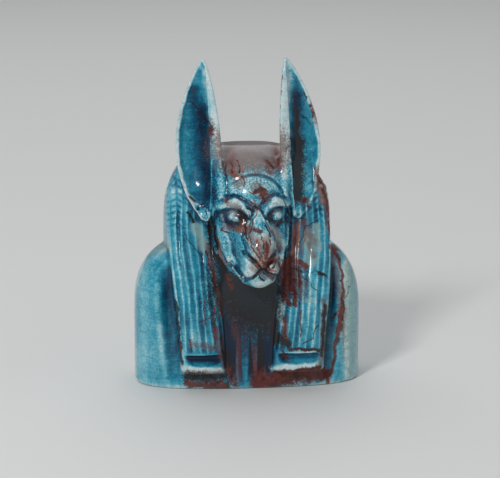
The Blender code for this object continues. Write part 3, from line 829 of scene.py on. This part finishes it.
faceMarks = {
    "haze": (
        (228, 158, 240, 184, 6), (266, 158, 270, 172, 3), (274, 148, 280, 168, 4),
        (236, 208, 248, 232, 5), (250, 230, 262, 262, 5), (266, 240, 280, 272, 5),
        (256, 186, 266, 198, 6), (224, 226, 240, 232, 3), (252, 268, 264, 276, 3),
        (256, 240, 266, 260, 7), (274, 230, 280, 246, 4), (226, 200, 232, 208, 3),
        (253, 203, 258, 209, 3),
    ),
    # red-brown under a painted grey sheen, on the top of the head and down the left side of the face
    "brownSheen": (
        (217, 240, 222, 262, 2.6), (221, 262, 236, 278, 2.4), (228, 172, 244, 178, 3),
        (234, 154, 272, 154, 19),
    ),
    "mint": (),
    # dark lines in the grooves of the nostrils and mouth, and painted shade in the eye sockets, beside the
    # nose and along the edges of the face
    "sootAndShade": (
        (239, 212, 246, 219, 3.8), (255, 206, 258, 209, 1.0), (231, 221, 240, 224, 1.6),
        (249, 256, 261, 267, 1.3), (274, 254, 264, 265, 1.3), (252, 279, 262, 269, 1.4),
        (264, 269, 277, 276, 1.3), (247, 207, 254, 212, 1.6), (266, 226, 270, 236, 1.2),
        (244, 222, 247, 240, 1.0), (225, 172, 227, 191, 0.6), (269, 221, 283, 223, 1.1),
        (248, 254, 253, 262, 1.6), (276, 262, 272, 268, 1.0), (259, 277, 264, 281, 1.0),
        (262, 204, 266, 200, 0.8), (213, 222, 217, 248, 1.7), (218, 254, 224, 268, 1.2),
    ),
    "rust": (
        (255, 192, 264, 190, 2.8), (261, 189, 265, 193, 3.2), (262, 194, 264, 199, 1.6),
        (250, 192, 254, 193, 0.9), (226, 202, 228.5, 198.5, 1.1), (275, 150, 279, 166, 1.4),
        (231, 163, 233, 174, 1.0), (238, 160, 240, 172, 0.9), (266, 158, 273, 168, 1.4),
        (246, 209, 250, 217, 0.6), (257, 211, 253, 223, 0.7), (253, 223, 249, 237, 0.7),
        (249, 237, 252, 246, 0.7), (252, 246, 260, 261, 0.9), (262, 212, 270, 228, 0.4),
        (270, 228, 277, 243, 0.4), (254, 229, 261, 231.5, 2.0), (266, 243, 268, 262, 1.6),
        (263, 262, 270, 269, 1.4), (269, 263, 279, 259, 1.9), (277, 244, 279, 252, 1.0),
        (221, 229, 230, 233, 0.9), (256, 240, 262, 262, 0.7), (262, 236, 265, 262, 0.7),
        (271, 240, 266, 258, 0.8), (281, 196, 286, 206, 0.7), (278, 262, 280, 268, 1.0),
        (256, 244, 259, 250, 0.8),
    ),
    "orange": (
        (235, 168, 236, 177, 0.9), (242, 166, 243, 173, 0.8), (237, 229, 246, 231, 1.8),
        (254, 263, 260, 268, 1.2), (268, 268, 276, 272, 1.0), (268, 277, 276, 280, 1.0),
        (263, 241, 269, 252, 1.5), (246, 236, 248, 244, 1.2), (250, 257, 262, 267, 2.3),
        (273, 256, 264, 266, 2.3), (266, 270, 276, 276, 1.6), (257, 240, 262, 260, 1.2),
        (240, 224, 247, 228, 1.6),
    ),
    # glaze worn off the ridges of the face, and a painted highlight on the eyeballs
    "wornAndHighlit": (
        (226, 202, 242, 203, 1.5), (253, 250, 258, 262, 3), (231, 214, 236, 214, 3.2),
        (275, 214, 280, 214, 3.2), (266, 236, 274, 246, 4), (250, 262, 252, 274, 6),
        (258, 284, 270, 284, 5), (279, 256, 281, 268, 3), (222, 216, 234, 264, 1.4),
        (256, 216, 260, 220, 2), (272, 226, 284, 246, 3), (254, 236, 262, 242, 3),
    ),
}
# glaze thicker and deeper (+) or thinner and paler (-), with the amount last. Many are painted shade, in the
# ear cups and on the chest under the muzzle, and the paler ones on the eyeballs and the right ear's rim are
# painted highlight.
washesWithShading = (
    (203, 108, 210, 196, 8, 0.34), (200, 84, 204, 104, 7, -0.1), (192, 90, 194, 190, 9, 0.10),
    (186, 106, 187, 190, 7, -0.17), (296, 96, 296, 150, 5, 0.34), (310, 100, 308, 186, 8, -0.12),
    (160, 268, 168, 372, 6, 0.16), (172, 268, 178, 372, 6, -0.05), (328, 262, 328, 296, 5, 0.06),
    (324, 300, 324, 356, 7, 0.02), (142, 262, 144, 378, 5, -0.12), (151, 262, 152, 378, 4, 0.02),
    (238, 338, 256, 350, 25, 0.5), (238, 364, 244, 386, 7, 0.14), (190, 357, 220, 357, 5, 0.22),
    (290, 357, 316, 356, 4, -0.1), (198, 250, 207, 305, 10, 0.06), (184, 300, 188, 340, 5, 0.05),
    (192, 338, 216, 346, 9, -0.16), (182, 352, 182, 368, 3, -0.2), (186, 370, 222, 371, 3, -0.3),
    (272, 368, 316, 366, 3, -0.26), (346, 262, 347, 376, 4, -0.42), (354, 262, 355, 376, 2, -0.12),
    (310, 290, 312, 340, 9, -0.15), (181, 190, 172, 232, 8, -0.05), (230, 238, 238, 262, 6, 0.07),
    (228, 214, 230, 220, 4, 0.12), (277, 214, 279, 216, 9, 0.2), (278, 214, 279, 214, 3.5, -0.36),
    (233, 214, 235, 214, 3.5, -0.56), (276, 226, 284, 234, 4, 0.1), (239, 200, 253, 207, 2.5, 0.16),
    (260, 209, 272, 203, 2.5, 0.14), (160, 326, 166, 374, 3, -0.22), (256, 214, 262, 226, 5, 0.06),
    (258, 218, 262, 226, 3, 0.12), (224, 204, 240, 202, 3, 0.06), (268, 203, 282, 205, 3, 0.1),
    (232, 215, 236, 215, 9, 0.16), (234, 362, 256, 364, 13, 0.42), (232, 186, 274, 186, 11, -0.2),
    (224, 212, 226, 220, 3.5, 0.16), (287, 78, 284, 176, 3.5, -0.3), (147, 262, 148, 376, 9, -0.06),
    (246, 374, 247, 388, 2.5, -0.2), (212, 84, 220, 150, 3, -0.1), (221, 209, 222, 220, 3, 0.24),
    (224, 222, 232, 224, 2.2, 0.2), (270, 210, 271, 219, 2.5, 0.26), (284, 212, 285, 219, 2.2, 0.2),
    (273, 222, 281, 223, 2, 0.16), (224, 208, 234, 205, 1.6, 0.2), (272, 207, 282, 207, 1.6, 0.2),
    (226, 194, 240, 196, 2.2, 0.16), (262, 196, 274, 191, 2.2, 0.14), (232, 232, 236, 250, 5, 0.06),
    (250, 264, 234, 268, 3, 0.16), (316, 210, 324, 206, 4, 0.1),
)
# hairline cracks as runs of points
cracks = (
    (187, 101, 196, 106, 205, 118, 215, 130), (190, 197, 201, 205, 206, 208, 210, 230),
    (184, 234, 192, 244, 200, 255, 208, 272, 217, 288), (200, 322, 209, 318, 218, 310),
    (209, 318, 214, 326, 216, 318), (225, 162, 226, 176, 229, 191), (303, 92, 307, 99, 304, 104),
    (298, 112, 306, 118, 311, 124), (318, 220, 306, 226, 300, 242), (300, 274, 310, 284, 316, 290),
    (292, 268, 304, 272, 318, 272), (242, 176, 244, 186), (350, 286, 344, 302, 342, 330),
    (303, 345, 312, 338, 318, 326),
)


def wander(points):
    # a slow waver and a quick one, so that no edge of a stain runs straight
    x, y, z = (points / mm).T
    away = np.stack([
        0.13 * np.sin(1.7 * z + 0.9 * x + 1.1 * y) + 0.06 * np.sin(4.3 * z - 3.1 * x + 2.0 * y),
        np.zeros(len(points)),
        0.13 * np.sin(1.9 * x - 1.3 * z + 0.7 * y) + 0.06 * np.sin(4.9 * x + 3.7 * z - 1.6 * y),
    ], axis=1)
    return away * mm


def strokeGap(pixelX, pixelY, x0, y0, x1, y1):
    # distance to a stroke, and the side of it on which each point lies
    dx, dy = x1 - x0, y1 - y0
    along = np.clip(((pixelX - x0) * dx + (pixelY - y0) * dy) / (dx * dx + dy * dy + 1e-9), 0, 1)
    side = np.sign((pixelX - x0) * dy - (pixelY - y0) * dx)
    return np.hypot(pixelX - x0 - along * dx, pixelY - y0 - along * dy), side


def markShare(pixelX, pixelY, strokes):
    # 1 in the middle of a stroke, 0.5 at its edge, 0 well outside
    share = np.zeros(len(pixelX))
    for *ends, radius in strokes:
        gap, _ = strokeGap(pixelX, pixelY, *ends)
        share = np.maximum(share, 1.2 - 0.7 * gap / radius)
    return share


def washWithShadingShare(pixelX, pixelY):
    share = np.zeros(len(pixelX))
    for *ends, radius, amount in washesWithShading:
        gap, _ = strokeGap(pixelX, pixelY, *ends)
        share += amount * np.exp(-((gap / radius) ** 2))
    return share


def crackGaps(pixelX, pixelY):
    # signed distance to the nearest crack, so that it can be drawn finer than the mesh
    nearest = np.full(len(pixelX), 9.0)
    for run in cracks:
        stops = list(zip(run[::2], run[1::2]))
        for start, end in zip(stops, stops[1:]):
            gap, side = strokeGap(pixelX, pixelY, *start, *end)
            nearest = np.where(gap < np.abs(nearest), gap * np.where(side < 0, -1, 1), nearest)
    return nearest


def markGlaze(bust):
    mesh = bust.data
    points, normals = meshPoints(mesh), readNormals(mesh)
    pixelX, pixelY = photoPixels(points + wander(points))
    facing = ramp(normals @ np.array(photoAxes()[2]), -0.25, 0.05)
    onFace = ramp(-headForm(turned(points, headSizes["turn"])), -1.2 * mm, -0.8 * mm)
    onFace = onFace * ramp(-points[:, 1], 4 * mm, 6 * mm)
    for name in bodyMarks:
        body = markShare(pixelX, pixelY, bodyMarks[name])
        face = markShare(pixelX, pixelY, faceMarks[name])
        writeAttribute(mesh, name, (body + (face - body) * onFace) * facing)
    # the washes, painted shade and painted highlight among them
    writeAttribute(mesh, "washWithShading", washWithShadingShare(pixelX, pixelY) * facing)
    writeAttribute(mesh, "speckled", 0.25 + 0.9 * onFace)
    writeAttribute(mesh, "unseen", 1 - facing)
    gaps = crackGaps(pixelX, pixelY)
    writeAttribute(mesh, "crackSide", gaps)
    writeAttribute(mesh, "crackNear", ramp(3.0 - np.abs(gaps), 0, 2) * (facing > 0.5))
    print("glaze marks written")


# Glaze

glazeLook = {
    "pale": (0.66, 0.79, 0.80, 1),
    "light": (0.23, 0.58, 0.67, 1),
    "turquoise": (0.03, 0.33, 0.47, 1),
    "deep": (0.001, 0.10, 0.19, 1),
    "navy": (0.001, 0.016, 0.045, 1),
    "rust": (0.15, 0.021, 0.012, 1),
    "orange": (0.34, 0.085, 0.018, 1),
    # near black, for the cracks and for the painted shadow
    "sootAndShade": (0.017, 0.010, 0.010, 1),
    "blueBlack": (0.006, 0.014, 0.022, 1),
    "haze": (0.15, 0.045, 0.035, 1),
    # red-brown glaze seen through a painted grey sheen
    "brownSheen": (0.235, 0.135, 0.108, 1),
    "mint": (0.31, 0.46, 0.43, 1),
    "speck": (0.80, 0.80, 0.78, 1),
    "roughness": 0.3,
    "specular": 0.1,
    "coatRoughness": 0.1,
    "coatIor": 1.36,
    # thickness of the glaze at which each of the blues is reached
    "shades": ((0.12, "pale"), (0.3, "light"), (0.5, "turquoise"), (0.74, "deep"), (0.95, "navy")),
    "evenThickness": 0.55,
    "thinnest": 0.15,
    "wornAway": 0.3,
    "blotches": 0.34,
    "mottling": 0.26,
    "brushing": 0.18,
    "specks": 0.3,
    # stains, painted shade and painted sheen in the order they are laid: name, softness of the edge, how much
    # they cover
    "stainsAndShading": (
        ("brownSheen", 0.35, 0.85), ("mint", 0.35, 0.7), ("haze", 0.5, 0.62), ("orange", 0.4, 0.75),
        ("sootAndShade", 0.3, 0.96), ("rust", 0.26, 0.92),
    ),
    "crackleScale": 340.0,
    "crackleDark": 0.22,
    "bump": 0.45,
    "bumpHeight": 0.12 * mm,
}


def put(tree, kind, settings=None, inputs=None):
    node = tree.nodes.new(kind)
    for name, value in (settings or {}).items():
        setattr(node, name, value)
    for name, value in (inputs or {}).items():
        if isinstance(value, bpy.types.NodeSocket):
            tree.links.new(value, node.inputs[name])
        else:
            node.inputs[name].default_value = value
    return node


def calc(tree, operation, a, b=0.0):
    return put(tree, "ShaderNodeMath", {"operation": operation}, {0: a, 1: b}).outputs[0]


def stepUp(tree, value, low, high, to=1.0):
    settings = {"interpolation_type": "SMOOTHSTEP"}
    inputs = {"Value": value, "From Min": low, "From Max": high, "To Min": 0.0, "To Max": to}
    return put(tree, "ShaderNodeMapRange", settings, inputs).outputs[0]


def blend(tree, share, first, second):
    settings = {"data_type": "RGBA", "blend_type": "MIX"}
    return put(tree, "ShaderNodeMix", settings, {0: share, 6: first, 7: second}).outputs[2]


def noise(tree, place, grain, detail=3.0, stretch=(1, 1, 1)):
    # grain is the size of a blotch in millimetres
    scale = tuple(s / (grain * mm) for s in stretch)
    moved = put(tree, "ShaderNodeMapping", None, {"Vector": place, "Scale": scale}).outputs[0]
    inputs = {"Vector": moved, "Scale": 1.0, "Detail": detail, "Roughness": 0.55}
    return put(tree, "ShaderNodeTexNoise", None, inputs).outputs[0]


def attribute(tree, name):
    return put(tree, "ShaderNodeAttribute", {"attribute_name": name}).outputs["Fac"]


def uneven(tree, cloud, amount):
    # a cloud as a change up and down
    return calc(tree, "MULTIPLY", calc(tree, "SUBTRACT", cloud, 0.5), amount)


def crackle(tree, place):
    # the fine net of cracks in the whole glaze, 1 on a crack
    stir = put(tree, "ShaderNodeTexNoise", None, {"Vector": place, "Scale": 500.0}).outputs[1]
    settings = {"operation": "SCALE"}
    stirred = put(tree, "ShaderNodeVectorMath", settings, {0: stir, "Scale": 1.2 * mm}).outputs[0]
    moved = put(tree, "ShaderNodeVectorMath", {"operation": "ADD"}, {0: place, 1: stirred}).outputs[0]
    settings = {"feature": "DISTANCE_TO_EDGE"}
    inputs = {"Vector": moved, "Scale": glazeLook["crackleScale"]}
    gap = put(tree, "ShaderNodeTexVoronoi", settings, inputs).outputs["Distance"]
    return calc(tree, "SUBTRACT", 1.0, stepUp(tree, gap, 0.0, 0.035))


def glazeMaterial():
    material = bpy.data.materials.new("turquoiseGlaze")
    material.use_nodes = True
    tree = material.node_tree
    tree.nodes.clear()
    place = put(tree, "ShaderNodeTexCoord").outputs["Object"]

    blotch = noise(tree, place, 5.0, 4.0)
    mottle = noise(tree, place, 1.1, 4.0)
    speck = noise(tree, place, 0.28, 3.0)
    brushed = noise(tree, place, 0.45, 2.0, (0.12, 0.12, 1))

    # thick glaze in the hollows is deep blue, thin glaze on the ridges lets the pale body through
    fine = calc(tree, "MULTIPLY", attribute(tree, "hollowFine"), 3.0)
    broad = calc(tree, "MULTIPLY", attribute(tree, "hollowBroad"), 0.6)
    depth = calc(tree, "MINIMUM", calc(tree, "ADD", fine, broad), 0.28)
    thick = calc(tree, "ADD", depth, glazeLook["evenThickness"])
    # paler where worn, which on the eyeballs and the ears' inner rims is painted highlight
    thinned = calc(tree, "MULTIPLY", attribute(tree, "wornAndHighlit"), glazeLook["wornAway"])
    # the washes also carry painted shade into the ear cups and under the muzzle, and painted highlight onto
    # the eyeballs
    thick = calc(tree, "ADD", calc(tree, "SUBTRACT", thick, thinned), attribute(tree, "washWithShading"))
    thick = calc(tree, "MAXIMUM", thick, glazeLook["thinnest"])
    for name, cloud in (("blotches", blotch), ("mottling", mottle), ("brushing", brushed), ("specks", speck)):
        thick = calc(tree, "ADD", thick, uneven(tree, cloud, glazeLook[name]))
    # on the face it breaks up into pale and blue specks
    grain = noise(tree, place, 0.36, 3.0)
    thick = calc(tree, "ADD", thick, uneven(tree, grain, attribute(tree, "speckled")))
    blues = put(tree, "ShaderNodeValToRGB", None, {"Fac": thick})
    while len(blues.color_ramp.elements) < len(glazeLook["shades"]):
        blues.color_ramp.elements.new(0.5)
    for element, (position, name) in zip(blues.color_ramp.elements, glazeLook["shades"]):
        element.position = position
        element.color = glazeLook[name]
    colour = blues.outputs[0]
    paleSpeck = calc(tree, "MULTIPLY", stepUp(tree, grain, 0.5, 0.62, 0.55), attribute(tree, "wornAndHighlit"))
    colour = blend(tree, paleSpeck, colour, glazeLook["speck"])

    # stains, painted shade and painted sheen break up at their edges, and differ in colour inside
    ragged = uneven(tree, mottle, 0.6)
    for amount, cloud in ((1.0, speck), (0.6, grain)):
        ragged = calc(tree, "ADD", ragged, uneven(tree, cloud, amount))
    stainAndShadingColours = {name: glazeLook[name] for name in ("haze", "brownSheen", "mint", "orange")}
    # the painted shadow, near black shading to blue-black
    stainAndShadingColours["sootAndShade"] = blend(tree, stepUp(tree, mottle, 0.5, 0.68), glazeLook["sootAndShade"], glazeLook["blueBlack"])
    darker = blend(tree, stepUp(tree, mottle, 0.42, 0.66, 0.75), glazeLook["rust"], glazeLook["sootAndShade"])
    stainAndShadingColours["rust"] = blend(tree, stepUp(tree, speck, 0.56, 0.7, 0.5), darker, glazeLook["orange"])
    for name, soft, most in glazeLook["stainsAndShading"]:
        edge = calc(tree, "ADD", attribute(tree, name), ragged)
        share = stepUp(tree, edge, 0.52 - soft, 0.52 + soft, most)
        colour = blend(tree, share, colour, stainAndShadingColours[name])

    gap = calc(tree, "ABSOLUTE", calc(tree, "ADD", attribute(tree, "crackSide"), uneven(tree, mottle, 5.0)))
    line = calc(tree, "SUBTRACT", 1.0, stepUp(tree, gap, 0.2, 0.9))
    line = calc(tree, "MULTIPLY", line, attribute(tree, "crackNear"))
    colour = blend(tree, calc(tree, "MULTIPLY", line, 0.85), colour, glazeLook["sootAndShade"])
    # a few soft stains where the photograph doesn't show the glaze
    cloud = noise(tree, place, 8.0, 2.0, (1, 1, 0.5))
    elsewhere = calc(tree, "ADD", cloud, calc(tree, "MULTIPLY", ragged, 0.25))
    stained = calc(tree, "MULTIPLY", stepUp(tree, elsewhere, 0.6, 0.72, 0.75), attribute(tree, "unseen"))
    colour = blend(tree, stained, colour, darker)
    washed = calc(tree, "MULTIPLY", stepUp(tree, elsewhere, 0.42, 0.3, 0.55), attribute(tree, "unseen"))
    colour = blend(tree, washed, colour, glazeLook["mint"])

    crack = crackle(tree, place)
    crackShare = calc(tree, "MULTIPLY", crack, glazeLook["crackleDark"])
    colour = blend(tree, crackShare, colour, glazeLook["sootAndShade"])

    waver = calc(tree, "ADD", calc(tree, "MULTIPLY", mottle, 0.6), calc(tree, "MULTIPLY", speck, 0.25))
    waver = calc(tree, "SUBTRACT", waver, calc(tree, "MULTIPLY", crack, 0.12))
    bumpInputs = {"Strength": glazeLook["bump"], "Distance": glazeLook["bumpHeight"], "Height": waver}
    bump = put(tree, "ShaderNodeBump", None, bumpInputs)
    rough = calc(tree, "ADD", glazeLook["roughness"] - 0.1, calc(tree, "MULTIPLY", speck, 0.3))
    shader = put(tree, "ShaderNodeBsdfPrincipled", None, {
        "Base Color": colour,
        "Roughness": rough,
        "Normal": bump.outputs[0],
        "Specular IOR Level": glazeLook["specular"],
        "Coat Weight": 1.0,
        "Coat IOR": glazeLook["coatIor"],
        "Coat Roughness": glazeLook["coatRoughness"],
    })
    put(tree, "ShaderNodeOutputMaterial", None, {"Surface": shader.outputs[0]})
    return material


# Floor, light and camera

studio = {
    "floorColour": (0.78, 0.78, 0.77, 1),
    "floorSize": 3.0,
    "worldColour": (0.80, 0.84, 0.88, 1),
    "worldStrength": 0.2,
    "lamps": (
        # name, place, width, watts
        ("keyLamp", (-0.30, -0.45, 0.45), 0.12, 2.05),
        ("topLamp", (-0.05, 0.30, 0.55), 0.9, 2.2),
        ("sideLamp", (0.50, -0.25, 0.25), 0.8, 0.75),
    ),
}


def makeStudio():
    bpy.ops.mesh.primitive_grid_add(x_subdivisions=8, y_subdivisions=8, size=studio["floorSize"])
    floor = bpy.context.view_layer.objects.active
    floor.name = "studioFloor"
    paper = bpy.data.materials.new("paleFloor")
    paper.use_nodes = True
    paint = paper.node_tree.nodes["Principled BSDF"]
    paint.inputs["Base Color"].default_value = studio["floorColour"]
    paint.inputs["Roughness"].default_value = 0.6
    floor.data.materials.append(paper)
    world = bpy.data.worlds.new("studioWorld")
    world.use_nodes = True
    background = world.node_tree.nodes["Background"]
    background.inputs[0].default_value = studio["worldColour"]
    background.inputs[1].default_value = studio["worldStrength"]
    bpy.context.scene.world = world
    for name, place, width, watts in studio["lamps"]:
        light = bpy.data.lights.new(name, "AREA")
        light.energy = watts
        light.size = width
        lamp = bpy.data.objects.new(name, light)
        lamp.location = place
        aim = Vector(photo["lookAt"]) - Vector(place)
        lamp.rotation_euler = aim.to_track_quat("-Z", "Y").to_euler()
        bpy.context.scene.collection.objects.link(lamp)
    print("floor and lamps set")


def makeCamera():
    data = bpy.data.cameras.new("photoCamera")
    data.sensor_width = 36
    data.lens = data.sensor_width * photo["distance"] / (photo["width"] * photo["metresPerPixel"])
    data.clip_start = 0.01
    camera = bpy.data.objects.new("photoCamera", data)
    back = photoAxes()[2]
    camera.location = Vector(photo["lookAt"]) + photo["distance"] * back
    camera.rotation_euler = (-back).to_track_quat("-Z", "Y").to_euler()
    bpy.context.scene.collection.objects.link(camera)
    bpy.context.scene.camera = camera
    print("camera set")


bpy.context.scene.view_settings.view_transform = "Standard"
makeCamera()
makeStudio()
bust = makeBust()
markGlaze(bust)
bust.data.materials.clear()
bust.data.materials.append(glazeMaterial())
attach(bust, "root")
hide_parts("jackal_bust")
